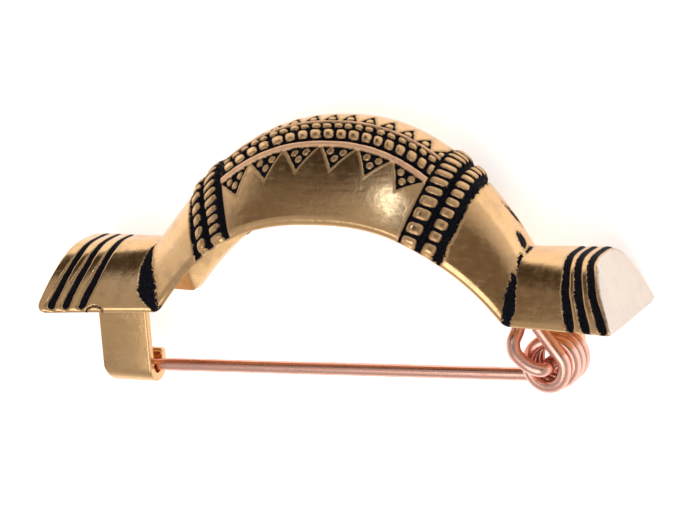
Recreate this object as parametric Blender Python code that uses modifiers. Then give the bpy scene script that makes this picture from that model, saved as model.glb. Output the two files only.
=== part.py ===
"""Equal-armed bow fibula of cast bronze with a sprung copper pin.

Three pieces: the hollow-backed bronze casting (bow, two arms, catch and spring lug),
the copper wire wound into a spring and drawn out into the pin, and the copper axle
that carries the coil.  Everything is laid out in the casting's own frame, whose
z = 0 plane holds the undersides of the arms and whose near side is -y.  An empty then
lays the whole brooch on its far side, on the ends' corners and the bow's far edge.
"""

import math

import bmesh
import bpy
from mathutils import Matrix, Vector

MM = 0.001

# Driving dimensions of the casting, in metres
HALF_LENGTH = 32.5 * MM       # overall centre to either end, along the lower edge
BOW_CENTRE = 0.85 * MM        # the bow sits a little nearer the coil end
BOW_HALF_SPAN = 19.7 * MM     # bow centre to neck, along the lower edge
CREST_HALF_SPAN = 20.9 * MM   # bow centre to neck, along the crest
EDGE_RISE = 10.3 * MM         # height of the bow's lower edge over the arms' underside
EDGE_POWER = 2.5              # how square the lower edge's arch is
CREST_RISE = 13.35 * MM       # height of the bow's crest over the necks' crest
CREST_POWER = 2.3
CREST_SPREAD = 0.57           # spreads the crest's places towards the necks
NECK_HEIGHT = 6.85 * MM
END_HEIGHT = 6.70 * MM
END_INSET = 2.7 * MM          # how far the end facets slope inwards
BOW_HALF_WIDTH = 6.8 * MM
NECK_HALF_WIDTH = 5.4 * MM
END_HALF_WIDTH = 7.5 * MM
BOW_SECTION_POWER = 2.3       # 2 is a parabola, more is squarer
NECK_SECTION_POWER = 2.7
END_SECTION_POWER = 3.3
CREST_LEAN = 1.3 * MM         # the bow's crest leans away from the bead band
NECK_LEAN = 0.3 * MM
CREST_SHIFT = 0.8 * MM        # the crest's top sits a little towards the coil end
WALL = 1.4 * MM
END_WALL = 1.6 * MM

# Relief of the casting
COLLAR_PLACE = 0.589          # the collars' middle, as a share of the bow's half span
COLLAR_REACH = (0.075, 0.235) # shares over which a collar keeps its width, and fades out
COLLAR_LEAN = {-1: 0.05, 1: 0.0}                # how far its crest leans to the arm, in s
RIB_SPREAD = {-1: 1.09 * MM, 1: 1.12 * MM}      # each rib's distance from the collar's middle
RIB_HALF_WIDTH = {-1: 0.70 * MM, 1: 0.76 * MM}
RIB_HEIGHT = 0.45 * MM
RIB_MOAT = 0.17 * MM          # depth of the grooves beside a rib
# The grooves' distances from an arm's end, along its lower edge.
GROOVE_DISTANCES = {-1: (1.5 * MM, 3.1 * MM, 5.0 * MM), 1: (0.8 * MM, 2.5 * MM, 4.3 * MM)}
GROOVE_HALF_WIDTH = 0.33 * MM
GROOVE_DEPTH = 0.35 * MM
BAND_REACH = 0.47             # the bead band runs between the inner collars
BAND_RIDGES = (-0.555, -0.27)  # places of the band's two smooth ridges across the section
RIDGE_HALF_WIDTH = 0.031
RIDGE_HEIGHT = 0.22 * MM
BAND_FLOOR = 0.20 * MM        # depth of the bead band between its ridges

# Spring, pin and axle
WIRE_RADIUS = 0.70 * MM
COIL_CENTRE = Vector((24.3 * MM, 0.0, -4.5 * MM))
COIL_RADIUS = 2.30 * MM       # to the wire's centre
COIL_PITCH = 1.44 * MM
COIL_TURNS = 3.35
NEAR_TURN_RADIUS = 1.75 * MM  # the near turn is wound tighter
NARROWING = (2.95, 3.25)      # turns over which the coil narrows to it
COIL_END_LENGTH = 4.0 * MM    # the wire then runs straight up behind the arm's edge
POINTS_PER_TURN = 16
PIN_Y = 1.40 * MM             # the pin leaves the coil's far turn here
PIN_TIP_X = -27.6 * MM
PIN_DROP = 1.1 * MM           # the tip end lies lower than the coil's underside
PIN_TAPER = 6.0 * MM
PIN_TIP_RADIUS = 0.30         # share of the wire's radius left at the tip
AXLE_BACK_Y = 4.7 * MM
AXLE_FRONT_Y = -3.3 * MM      # its straight part ends in front of the coil
# The bent end, as millimetres in x, y and z from the straight part's front end:
# forwards, aside over the coil's near turn, then up and back into the arm's hollow.
AXLE_BEND = ((0.0, 0.3, 0.0), (0.1, -0.6, -0.1), (-0.35, -1.15, -0.15),
             (-1.3, -1.3, 0.15), (-2.25, -1.25, 0.75), (-3.0, -1.1, 1.55),
             (-3.25, -0.7, 2.5), (-3.05, 0.0, 3.4), (-2.8, 0.45, 4.6), (-2.7, 0.6, 5.8))
AXLE_BEND_STEPS = 4

# Catch
CATCH_LEFT = -28.7 * MM
CATCH_RIGHT = -22.75 * MM
CATCH_THICKNESS = 0.95 * MM
CATCH_BEND_RADIUS = 1.38 * MM     # to the middle of the strip
CATCH_NARROWING = 2.0 * MM        # lost from the strip's outer edge round the bend
CATCH_LIP_RISE = 1.5 * MM         # how far the open leg rises over the bend's centre
CATCH_LIFT = 0.05 * MM            # the bend's middle lies this far over the pin's
CATCH_ROOT_Z = 5.9 * MM           # the strip's top, inside the arm's roof

# Lug
LUG_FRONT_Y = 2.50 * MM
LUG_THICKNESS = 1.3 * MM
LUG_HALF_WIDTH = 1.7 * MM
LUG_TOP_Z = 6.0 * MM
LUG_HOLE_RADIUS = 1.0 * MM

# The ground it lies on: down to it, and along it up the bow's height
REST_LEAN = math.atan2(END_HALF_WIDTH - BOW_HALF_WIDTH, EDGE_RISE)
REST_DOWN = Vector((0.0, math.cos(REST_LEAN), math.sin(REST_LEAN)))
REST_ALONG = Vector((0.0, -math.sin(REST_LEAN), math.cos(REST_LEAN)))
REST_FLAT = 0.10 * MM         # worn off the highest places of the far side
REST_REACH = END_HALF_WIDTH * math.cos(REST_LEAN) - REST_FLAT

OBJECT_NAME = "bow_fibula"
CUTTER_REACH = 1.5 * MM       # how far a cutter runs past what it cuts
SHARP_ANGLE = math.radians(30.0)


def clear_scene():
    for old in list(bpy.data.objects):
        bpy.data.objects.remove(old, do_unlink=True)


def make_collection(name):
    collection = bpy.data.collections.new(name)
    bpy.context.scene.collection.children.link(collection)
    return collection


def make_material(name, colour, roughness, metallic=1.0):
    material = bpy.data.materials.new(name)
    material.use_nodes = True
    shader = material.node_tree.nodes["Principled BSDF"]
    shader.inputs["Base Color"].default_value = (*colour, 1.0)
    shader.inputs["Roughness"].default_value = roughness
    shader.inputs["Metallic"].default_value = metallic
    return material


def mesh_object(name, bm, collection, material=None):
    bmesh.ops.recalc_face_normals(bm, faces=bm.faces)
    mesh = bpy.data.meshes.new(name)
    bm.to_mesh(mesh)
    bm.free()
    if material:
        mesh.materials.append(material)
    mesh.shade_smooth()
    mesh.set_sharp_from_angle(angle=SHARP_ANGLE)
    piece = bpy.data.objects.new(name, mesh)
    collection.objects.link(piece)
    return piece


def smooth_step(x):
    x = min(max(x, 0.0), 1.0)
    return x * x * (3.0 - 2.0 * x)


def blend(a, b, share):
    return a + (b - a) * share


# The casting's surface: a station is one cross-section, at a distance s from the
# bow's centre (0) over the neck (1) to an arm's end (2), on the side -1 or +1.


class Station:
    """One cross-section: its lower edge, its crest, its half width and its squareness."""

    def __init__(self, edge, crest, half_width, power, lean):
        self.edge = edge
        self.crest = crest
        self.half_width = half_width
        self.power = power
        self.lean = lean

    def point(self, v):
        """A point of the section's outline, v from -1 (near edge) to +1 (far edge)."""
        share = 1.0 - abs(v) ** self.power
        x, z = self.edge.lerp(self.crest, share)
        return Vector((x, self.half_width * v + self.lean * share, z))

    def normal(self, v):
        """The outline's outward direction, square to it within the section's plane."""
        step = 0.01
        along = self.point(min(v + step, 1.0)) - self.point(max(v - step, -1.0))
        up = (self.crest - self.edge).normalized()
        rise = along.x * up.x + along.z * up.y
        return Vector((along.y * up.x, -rise, along.y * up.y)).normalized()


def bow_station(side, s):
    crest_share = s + CREST_SPREAD * s * s * (1.0 - s)
    edge = Vector((BOW_CENTRE + side * BOW_HALF_SPAN * s,
                   EDGE_RISE * (1.0 - s ** EDGE_POWER)))
    crest = Vector((BOW_CENTRE + side * CREST_HALF_SPAN * crest_share
                    + CREST_SHIFT * (1.0 - s ** 4),
                    NECK_HEIGHT + CREST_RISE * (1.0 - crest_share ** CREST_POWER)))
    half_width = blend(BOW_HALF_WIDTH, NECK_HALF_WIDTH, smooth_step((s - 0.5) / 0.5))
    power = blend(BOW_SECTION_POWER, NECK_SECTION_POWER, s * s)
    lean = blend(CREST_LEAN, NECK_LEAN, smooth_step(s))
    return Station(edge, crest, half_width, power, lean)


def arm_station(side, share):
    neck = bow_station(side, 1.0)
    edge = neck.edge.lerp(Vector((side * HALF_LENGTH, 0.0)), share)
    crest = neck.crest.lerp(Vector((side * (HALF_LENGTH - END_INSET), END_HEIGHT)), share)
    return Station(edge, crest,
                   blend(NECK_HALF_WIDTH, END_HALF_WIDTH, share),
                   blend(NECK_SECTION_POWER, END_SECTION_POWER, share),
                   NECK_LEAN)


def station(side, s):
    return bow_station(side, s) if s <= 1.0 else arm_station(side, s - 1.0)


def run_length(side, v):
    """Length along the casting, at a place across it, per unit of s at the collar."""
    step = 0.01
    ahead, behind = (bow_station(side, COLLAR_PLACE + k * step).point(v) for k in (0.5, -0.5))
    return (ahead - behind).length / step


def even_collar(side, s, v):
    """s moved so that a collar keeps its width over the crest and leans to the arm there."""
    offset = s - COLLAR_PLACE
    start, end = COLLAR_REACH
    share = 1.0 - smooth_step((abs(offset) - start) / (end - start))
    stretch = offset * (run_length(side, 1.0) / run_length(side, v) - 1.0)
    lean = COLLAR_LEAN[side] * (1.0 - abs(v) ** BOW_SECTION_POWER)
    return s + (stretch + lean) * share


def rib_layout(side):
    """The ribs' middle lines and their half width, in s."""
    length = run_length(side, 1.0)
    spread = RIB_SPREAD[side] / length
    return (COLLAR_PLACE - spread, COLLAR_PLACE + spread), RIB_HALF_WIDTH[side] / length


def arm_length(side):
    return HALF_LENGTH - (BOW_HALF_SPAN + side * BOW_CENTRE)


def groove_places(side):
    return [2.0 - distance / arm_length(side) for distance in GROOVE_DISTANCES[side]]


def bump(distance, half_width):
    """1 on a ridge's middle line, falling to 0 at its half width."""
    share = min(abs(distance) / half_width, 1.0)
    return math.sqrt(1.0 - share * share)


def relief(side, s, v):
    """How far the surface stands out (+) or is sunk (-) at a place of the casting."""
    ribs, rib_half_width = rib_layout(side)
    for place in ribs:
        distance = abs(s - place)
        if distance < rib_half_width:
            return RIB_HEIGHT * bump(distance, rib_half_width)
        if distance < 1.5 * rib_half_width:
            return -RIB_MOAT
    if s > 1.0:
        half_width = GROOVE_HALF_WIDTH / arm_length(side)
        for place in groove_places(side):
            if abs(s - place) < half_width:
                return -GROOVE_DEPTH
    if s < BAND_REACH:
        for place in BAND_RIDGES:
            if abs(v - place) < RIDGE_HALF_WIDTH:
                return RIDGE_HEIGHT * bump(v - place, RIDGE_HALF_WIDTH)
        if BAND_RIDGES[0] < v < BAND_RIDGES[1]:
            return -BAND_FLOOR
    return 0.0


def stepped(places, half_width, fall):
    """Stations on both sides of each change of height."""
    result = []
    for place in places:
        result += [place - half_width - fall, place - half_width + fall]
        result += [place + half_width - fall, place + half_width + fall]
    return result


def outer_stations(side):
    """The distances of one half's sections, close together where the relief changes."""
    result = [BAND_REACH * k / 7.0 for k in range(7)]
    result += [BAND_REACH - 0.004, BAND_REACH + 0.004]
    ribs, rib_half_width = rib_layout(side)
    for place in ribs:
        result += [place + rib_half_width * k
                   for k in (-1.55, -1.45, -1.05, -0.95, -0.5, 0.0, 0.5, 0.95, 1.05, 1.45, 1.55)]
    result += [0.73, 0.78, 0.83, 0.88, 0.92, 0.95, 0.98, 1.0, 1.03, 1.2, 1.4]
    result += stepped(groove_places(side), GROOVE_HALF_WIDTH / arm_length(side), 0.006)
    result += [2.0]
    return sorted(result)


def section_places():
    """The places across a section, close together at the band's ridges."""
    result = [-1.0, -0.92, -0.82, -0.70]
    for place in BAND_RIDGES:
        result += [place + RIDGE_HALF_WIDTH * k for k in (-1.1, -0.9, 0.0, 0.9, 1.1)]
    result += [-0.41, -0.12, 0.04, 0.2, 0.38, 0.56, 0.72, 0.85, 0.93, 0.97, 1.0]
    return sorted(result)


def loft(rings):
    """Closed skin over rings of equal length, capped at both ends."""
    bm = bmesh.new()
    rows = [[bm.verts.new(point) for point in ring] for ring in rings]
    count = len(rows[0])
    for row, following in zip(rows, rows[1:]):
        for k in range(count):
            after = (k + 1) % count
            bm.faces.new((row[k], row[after], following[after], following[k]))
    bm.faces.new(rows[0])
    bm.faces.new(list(reversed(rows[-1])))
    bmesh.ops.triangulate(bm, faces=bm.faces)
    return bm


def both_sides(distances_of_side):
    """(side, s) for every section, from the left arm's end to the right arm's end."""
    left = [(-1, s) for s in reversed(distances_of_side(-1))]
    right = [(1, s) for s in distances_of_side(1)[1:]]
    return left + right


def worn_flat(point):
    """A point of the casting, held back to the flat that it lies on."""
    return point - REST_DOWN * max(point.dot(REST_DOWN) - REST_REACH, 0.0)


def outer_ring(side, s):
    ring = []
    for v in section_places():
        section = station(side, even_collar(side, s, v))
        ring.append(worn_flat(section.point(v) + section.normal(v) * relief(side, s, v)))
    return ring


def hollow_stations(side):
    last = 2.0 - END_WALL / arm_length(side)
    return [0.0, 0.15, 0.3, 0.42, 0.54, 0.64, 0.74, 0.83, 0.91, 0.96, 1.0, 1.05, 1.3, 1.6, last]


def hollow_ring(side, s):
    """The casting's hollow back at one section, run on past the rim."""
    section = station(side, s)
    up = (section.crest - section.edge).normalized()
    inner = Station(section.edge, section.crest - up * WALL, section.half_width - WALL,
                    section.power, section.lean)
    ring = [inner.point(v) for v in (-1.0, -0.95, -0.86, -0.74, -0.6, -0.42, -0.2, 0.0,
                                     0.2, 0.42, 0.6, 0.74, 0.86, 0.95, 1.0)]
    below = Vector((-up.x, 0.0, -up.y)) * CUTTER_REACH
    return ring + [ring[-1] + below, ring[0] + below]


def add_boolean(piece, cutter, operation):
    modifier = piece.modifiers.new(f"{operation.lower()}_{cutter.name}", "BOOLEAN")
    modifier.operation = operation
    modifier.solver = "EXACT"
    modifier.object = cutter
    cutter.hide_render = True
    cutter.display_type = "WIRE"


def box(name, low, high, collection):
    bm = bmesh.new()
    size = Vector(high) - Vector(low)
    middle = (Vector(high) + Vector(low)) / 2.0
    bmesh.ops.create_cube(bm, size=1.0, matrix=Matrix.Translation(middle)
                          @ Matrix.Diagonal((*size, 1.0)))
    return mesh_object(name, bm, collection)


def cylinder_along_y(name, centre, radius, depth, collection, segments=20):
    bm = bmesh.new()
    turn = Matrix.Rotation(math.radians(90.0), 4, "X")
    bmesh.ops.create_cone(bm, cap_ends=True, segments=segments, radius1=radius,
                          radius2=radius, depth=depth,
                          matrix=Matrix.Translation(centre) @ turn)
    return mesh_object(name, bm, collection)


def pin_height(x):
    """Height of the pin's middle line: level with the coil's underside, lower at the tip."""
    share = (COIL_CENTRE.x - x) / (COIL_CENTRE.x - PIN_TIP_X)
    return COIL_CENTRE.z - COIL_RADIUS - PIN_DROP * share


def catch_bend():
    """The middle of the catch's bend, in y and z."""
    return Vector((PIN_Y, pin_height((CATCH_LEFT + CATCH_RIGHT) / 2.0) + CATCH_LIFT))


def build_catch(collection):
    """A strip bent into a hook under the arm, open on its far side."""
    bend = catch_bend()
    path = [Vector((bend.x - CATCH_BEND_RADIUS, CATCH_ROOT_Z))]
    for k in range(13):
        angle = math.pi + math.pi * k / 12.0
        path.append(bend + CATCH_BEND_RADIUS * Vector((math.cos(angle), math.sin(angle))))
    path.append(path[-1] + Vector((0.0, CATCH_LIP_RISE)))
    bm = bmesh.new()
    corners = []
    for k, (y, z) in enumerate(path):
        left = CATCH_LEFT + CATCH_NARROWING * max(k - 1, 0) / (len(path) - 2)
        corners.append([bm.verts.new((x, y, z)) for x in (left, CATCH_RIGHT)])
    for one, two in zip(corners, corners[1:]):
        bm.faces.new((one[0], one[1], two[1], two[0]))
    strip = mesh_object("catch_strip", bm, collection)
    solidify = strip.modifiers.new("thickness", "SOLIDIFY")
    solidify.thickness = CATCH_THICKNESS
    solidify.offset = 0.0
    return strip


def build_body(parts, cutters, bronze):
    body = mesh_object("fibula_body", loft([outer_ring(side, s) for side, s
                                            in both_sides(outer_stations)]), parts, bronze)
    hollow = mesh_object("hollow_back", loft([hollow_ring(side, s) for side, s
                                              in both_sides(hollow_stations)]), cutters)
    add_boolean(body, hollow, "DIFFERENCE")
    add_boolean(body, build_catch(cutters), "UNION")
    lug = box("lug_plate",
              (COIL_CENTRE.x - LUG_HALF_WIDTH, LUG_FRONT_Y, COIL_CENTRE.z),
              (COIL_CENTRE.x + LUG_HALF_WIDTH, LUG_FRONT_Y + LUG_THICKNESS, LUG_TOP_Z),
              cutters)
    middle = COIL_CENTRE + Vector((0.0, LUG_FRONT_Y + LUG_THICKNESS / 2.0, 0.0))
    eye = cylinder_along_y("lug_eye", middle, LUG_HALF_WIDTH, LUG_THICKNESS, cutters)
    add_boolean(lug, eye, "UNION")
    add_boolean(body, lug, "UNION")
    hole = cylinder_along_y("lug_hole", middle, LUG_HOLE_RADIUS,
                            LUG_THICKNESS + 2.0 * CUTTER_REACH, cutters)
    add_boolean(body, hole, "DIFFERENCE")
    return body


def wire(name, points, radii, collection, material):
    """Round wire along points, as a poly curve with closed ends."""
    data = bpy.data.curves.new(name, "CURVE")
    data.dimensions = "3D"
    data.bevel_depth = WIRE_RADIUS
    data.bevel_resolution = 2
    data.use_fill_caps = True
    spline = data.splines.new("POLY")
    spline.points.add(len(points) - 1)
    for point, place, radius in zip(spline.points, points, radii):
        point.co = (*place, 1.0)
        point.radius = radius
    data.materials.append(material)
    piece = bpy.data.objects.new(name, data)
    collection.objects.link(piece)
    return piece


def coil_radius(turn):
    start, end = NARROWING
    return blend(COIL_RADIUS, NEAR_TURN_RADIUS, smooth_step((turn - start) / (end - start)))


def build_pin_spring(parts, copper):
    """Coil and pin in one wire; its origin lies on the coil's axis."""
    tip = Vector((PIN_TIP_X, PIN_Y, pin_height(PIN_TIP_X))) - COIL_CENTRE
    root = Vector((0.0, PIN_Y, -COIL_RADIUS))
    points = [tip.lerp(root, share) for share in (0.0, 0.04, 0.08, 0.12, 0.35, 0.6, 0.85, 0.96)]
    radii = [min(1.0, PIN_TIP_RADIUS + (1.0 - PIN_TIP_RADIUS) * (point.x - tip.x) / PIN_TAPER)
             for point in points]
    steps = round(COIL_TURNS * POINTS_PER_TURN)
    for k in range(steps + 1):
        turn = COIL_TURNS * k / steps
        angle = 2.0 * math.pi * turn - math.pi / 2.0
        points.append(Vector((coil_radius(turn) * math.cos(angle), PIN_Y - COIL_PITCH * turn,
                              coil_radius(turn) * math.sin(angle))))
    onward = Vector((-math.sin(angle), 0.0, math.cos(angle)))
    points.append(points[-1] + COIL_END_LENGTH * onward)
    radii += [1.0] * (steps + 2)
    piece = wire("pin_spring", points, radii, parts, copper)
    piece.location = COIL_CENTRE
    return piece


def smooth_route(stops, steps):
    """Points along a Catmull-Rom curve through a wire's stops."""
    ends = [2.0 * stops[0] - stops[1]] + stops + [2.0 * stops[-1] - stops[-2]]
    route = []
    for a, b, c, d in zip(ends, ends[1:], ends[2:], ends[3:]):
        for k in range(steps):
            t = k / steps
            route.append(0.5 * (2.0 * b + (c - a) * t + (2.0 * a - 5.0 * b + 4.0 * c - d) * t * t
                                + (3.0 * b - a - 3.0 * c + d) * t ** 3))
    return route + [stops[-1]]


def build_axle(parts, copper):
    """Straight through the lug and the coil, then bent up in front of the coil's near turn."""
    straight = [COIL_CENTRE + Vector((0.0, y, 0.0)) for y in (AXLE_BACK_Y, 0.0)]
    front = COIL_CENTRE + Vector((0.0, AXLE_FRONT_Y, 0.0))
    stops = [front + MM * Vector(offset) for offset in AXLE_BEND]
    points = straight + smooth_route(stops, AXLE_BEND_STEPS)
    return wire("axle_wire", points, [1.0] * len(points), parts, copper)


def build_stance(parts, pieces):
    """Lays the brooch on its far side, with the middle of its height at the origin."""
    top = max(point.dot(REST_ALONG) for side, s in both_sides(outer_stations)
              for point in outer_ring(side, s))
    bend_y, bend_z = catch_bend()
    bottom = (Vector((0.0, bend_y, bend_z)).dot(REST_ALONG)
              - CATCH_BEND_RADIUS - CATCH_THICKNESS / 2.0)
    stance = bpy.data.objects.new("stance", None)
    stance.rotation_euler.x = -math.pi / 2.0 - REST_LEAN
    stance.location = (0.0, -(top + bottom) / 2.0, REST_REACH)
    parts.objects.link(stance)
    for piece in pieces:
        piece.parent = stance


def main():
    clear_scene()
    parts = make_collection(OBJECT_NAME)
    cutters = make_collection("cutters")
    bronze = make_material("cast_bronze", (0.62, 0.41, 0.21), 0.32)
    copper = make_material("copper_wire", (0.80, 0.40, 0.26), 0.28)
    body = build_body(parts, cutters, bronze)
    pin_spring = build_pin_spring(parts, copper)
    axle = build_axle(parts, copper)
    build_stance(parts, [body, pin_spring, axle, *cutters.objects])


main()
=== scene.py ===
"""Visual model of the bow fibula: cast bronze with a beaded bow, and a sprung copper pin.

Lengths are in millimetres in the casting's own frame (x along it, -y its beaded near
side, z up from the arms' undersides); to_world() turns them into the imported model's.
"""
import math

import bpy
import numpy as np
from mathutils import Matrix, Vector


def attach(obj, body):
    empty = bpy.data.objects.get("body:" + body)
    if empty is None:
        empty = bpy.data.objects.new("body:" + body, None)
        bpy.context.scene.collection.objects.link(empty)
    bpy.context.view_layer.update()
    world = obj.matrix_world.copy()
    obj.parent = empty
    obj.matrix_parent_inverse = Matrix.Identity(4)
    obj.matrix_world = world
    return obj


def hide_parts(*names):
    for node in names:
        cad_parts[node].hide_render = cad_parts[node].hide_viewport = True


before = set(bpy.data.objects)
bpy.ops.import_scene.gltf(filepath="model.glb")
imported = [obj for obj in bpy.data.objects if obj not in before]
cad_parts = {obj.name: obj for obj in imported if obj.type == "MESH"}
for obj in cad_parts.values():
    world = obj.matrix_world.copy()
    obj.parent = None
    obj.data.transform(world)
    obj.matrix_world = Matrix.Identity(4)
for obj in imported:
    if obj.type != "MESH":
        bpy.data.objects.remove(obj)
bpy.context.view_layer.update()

# ---------------------------------------------------------------- driving dimensions
HALF_LENGTH = 32.5
BOW_CENTRE = 0.85
BOW_HALF_SPAN = 19.7
CREST_HALF_SPAN = 20.9
EDGE_RISE = 10.3
EDGE_POWER = 2.5
CREST_RISE = 13.35
CREST_POWER = 2.3
CREST_SPREAD = 0.57
NECK_HEIGHT, END_HEIGHT = 6.85, 6.70
END_INSET = 2.7
BOW_HALF_WIDTH, NECK_HALF_WIDTH, END_HALF_WIDTH = 6.8, 5.4, 7.5
BOW_POWER, NECK_POWER, END_POWER = 2.3, 2.7, 3.3
CREST_LEAN, NECK_LEAN = 1.3, 0.3
CREST_SHIFT = 0.8
WALL, END_WALL = 1.4, 1.6
NECK_SOFTNESS = 0.35

COLLAR_PLACE = 0.589
COLLAR_REACH = (0.075, 0.235)
COLLAR_LEAN = {-1: 0.05, 1: 0.0}
RIB_PLACE = {(-1, -1): -1.00, (-1, 1): 1.22, (1, -1): -1.36, (1, 1): 0.86}
RIB_HALF_WIDTH = {(-1, -1): 0.90, (-1, 1): 0.60, (1, -1): 0.98, (1, 1): 0.75}
RIB_HEIGHT = 0.45
MOAT_DEPTH = 0.23
INNER_BAND = {-1: 0.59, 1: 0.22}
OUTER_BAND = {-1: 0.94, 1: 0.78}
RIM_HEIGHT = {-1: 0.30, 1: 0.35}
# each rib's beads: pitch low down and high up, and where the first lies
RIB_BEADS = {(-1, -1): (1.05, 0.98, 1.56), (-1, 1): (1.42, 1.25, 0.80),
             (1, -1): (1.62, 0.90, 0.42), (1, 1): (1.40, 0.98, 0.87)}
BEAD_TILT = {(-1, -1): (0.12, 0.45), (-1, 1): (0.30, 0.60), (1, -1): (-0.12, -0.12),
             (1, 1): (-0.12, -0.12)}
EDGE_RADIUS = {"bow": 0.9, "arm": 0.6, "far": 0.2}
CORNER_RADIUS = {-1: 1.35, 1: 0.50}

WIRE_RADIUS = 0.70
COIL_CENTRE = np.array([24.3, 0.0, -4.5])
COIL_RADIUS, COIL_PITCH, COIL_TURNS = 2.30, 1.44, 3.35
NEAR_TURN_RADIUS, NARROWING, COIL_END_LENGTH = 1.75, (2.95, 3.25), 4.0
PIN_Y, PIN_TIP_X, PIN_DROP, PIN_TAPER, PIN_TIP_SHARE = 1.40, -27.6, 1.1, 6.0, 0.30
AXLE_BACK_Y, AXLE_FRONT_Y = 4.7, -3.3
AXLE_BEND = ((0.0, 0.3, 0.0), (0.1, -0.6, -0.1), (-0.35, -1.15, -0.15),
             (-1.3, -1.3, 0.15), (-2.25, -1.25, 0.75), (-3.0, -1.1, 1.55),
             (-3.25, -0.7, 2.5), (-3.05, 0.0, 3.4), (-2.8, 0.45, 4.6), (-2.7, 0.6, 5.8))
CATCH_LEFT, CATCH_RIGHT = -28.7, -22.75
CATCH_THICKNESS, CATCH_BEND_RADIUS, CATCH_NARROWING = 0.95, 1.38, 2.0
CATCH_LIP_RISE, CATCH_LIFT, CATCH_ROOT_Z = 1.5, 0.05, 5.9
LUG_FRONT_Y, LUG_THICKNESS, LUG_HALF_WIDTH, LUG_TOP_Z, LUG_HOLE_RADIUS = 2.50, 1.3, 1.7, 6.0, 1.0

# The brooch lies on its far side, on the ends' corners and the bow's far edge.
REST_LEAN = math.atan2(END_HALF_WIDTH - BOW_HALF_WIDTH, EDGE_RISE)
REST_DOWN = np.array([0.0, math.cos(REST_LEAN), math.sin(REST_LEAN)])
REST_ALONG = np.array([0.0, -math.sin(REST_LEAN), math.cos(REST_LEAN)])
REST_REACH = END_HALF_WIDTH * math.cos(REST_LEAN) - 0.10
REST_SHIFT = -5.152


def to_world(points):
    """Casting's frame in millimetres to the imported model's frame in metres."""
    points = np.asarray(points, float)
    return np.stack([points[..., 0], points @ REST_ALONG + REST_SHIFT,
                     REST_REACH - points @ REST_DOWN], -1) * 0.001


def turned(direction):
    """A direction of the casting's frame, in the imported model's."""
    direction = np.asarray(direction, float)
    return np.array([direction[0], direction @ REST_ALONG, -(direction @ REST_DOWN)])


# ---------------------------------------------------------------- small shape helpers
def smooth_step(x):
    """0 to 1 with level ends."""
    x = np.clip(x, 0.0, 1.0)
    return x * x * (3.0 - 2.0 * x)


def ramp(x, start, end):
    """A smooth step from 0 at start to 1 at end."""
    return smooth_step((x - start) / (end - start))


def mix(a, b, share):
    """a at share 0, b at share 1."""
    return a + (b - a) * share


def roll(distance, half_width):
    """A half-round ridge, 1 on its middle line."""
    return np.sqrt(np.clip(1.0 - (distance / half_width) ** 2, 0.0, 1.0))


def cushion(inside, radius):
    """Height of a body with rounded sides, from the distance inside its outline."""
    share = np.clip(inside / radius, 0.0, 1.0)
    return np.sqrt(1.0 - (1.0 - share) ** 2)


def wobble(x, seed):
    """A smooth, seeded, irregular wave between about -1 and 1."""
    return (np.sin(1.7 * x + 2.3 * seed) + 0.6 * np.sin(3.1 * x + 5.1 * seed)
            + 0.4 * np.sin(6.7 * x + 1.9 * seed)) / 2.0


def run_along(places):
    """Length along a line up to each of its places."""
    return np.r_[0.0, np.cumsum(np.linalg.norm(np.diff(places, axis=0), axis=1))]


def even_line(parameter, places, step, group=1, extra=1):
    """Parameters about a step apart along a line: whole groups of steps, and extra places."""
    run = run_along(places)
    count = group * int(run[-1] / step / group) + extra
    return np.interp(np.linspace(0.0, run[-1], count), run, parameter)


# ---------------------------------------------------------------- the casting's surface
END = 2.0  # t is 0 at the bow's middle, 1 at the necks and 2 at the ends


def raw_section(t):
    """Lower edge, crest, half width, squareness and lean of the section at t."""
    side = np.where(t < 0.0, -1.0, 1.0)
    s = np.minimum(np.abs(t), 1.0)
    crest_share = s + CREST_SPREAD * s * s * (1.0 - s)
    edge_x = BOW_CENTRE + side * BOW_HALF_SPAN * s
    edge_z = EDGE_RISE * (1.0 - s ** EDGE_POWER)
    crest_x = (BOW_CENTRE + side * CREST_HALF_SPAN * crest_share
               + CREST_SHIFT * (1.0 - s ** 4))
    crest_z = NECK_HEIGHT + CREST_RISE * (1.0 - crest_share ** CREST_POWER)
    half_width = mix(BOW_HALF_WIDTH, NECK_HALF_WIDTH, smooth_step((s - 0.5) / 0.5))
    power = mix(BOW_POWER, NECK_POWER, s * s)
    lean = mix(CREST_LEAN, NECK_LEAN, smooth_step(s))
    arm = np.clip(np.abs(t) - 1.0, 0.0, 1.0)
    return np.stack([mix(edge_x, side * HALF_LENGTH, arm), edge_z,
                     mix(crest_x, side * (HALF_LENGTH - END_INSET), arm),
                     mix(crest_z, END_HEIGHT, arm), mix(half_width, END_HALF_WIDTH, arm),
                     mix(power, END_POWER, arm), lean], -1)


def section_table():
    """The sections, their necks softened over a fillet's length, at 8000 places."""
    t = np.linspace(-END, END, 8001)
    raw = raw_section(t)
    run = run_along(raw[:, :2])
    soft = raw.copy()
    for neck in (-1.0, 1.0):
        middle = np.interp(neck, t, run)
        near = np.abs(run - middle) < 4.0 * NECK_SOFTNESS
        for k in np.nonzero(near)[0]:
            weight = np.exp(-0.5 * ((run - run[k]) / NECK_SOFTNESS) ** 2)
            soft[k] = (weight[:, None] * raw).sum(0) / weight.sum()
    return t, soft


TABLE_T, TABLE = section_table()


def section(t):
    """The softened section's seven measures at t."""
    return [np.interp(t, TABLE_T, TABLE[:, k]) for k in range(7)]


def surface(t, v):
    """A point of the outline at t along and v across (-1 near edge, 1 far edge)."""
    edge_x, edge_z, crest_x, crest_z, half_width, power, lean = section(t)
    share = 1.0 - np.abs(v) ** power
    return np.stack([mix(edge_x, crest_x, share), half_width * v + lean * share,
                     mix(edge_z, crest_z, share)], -1)


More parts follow.
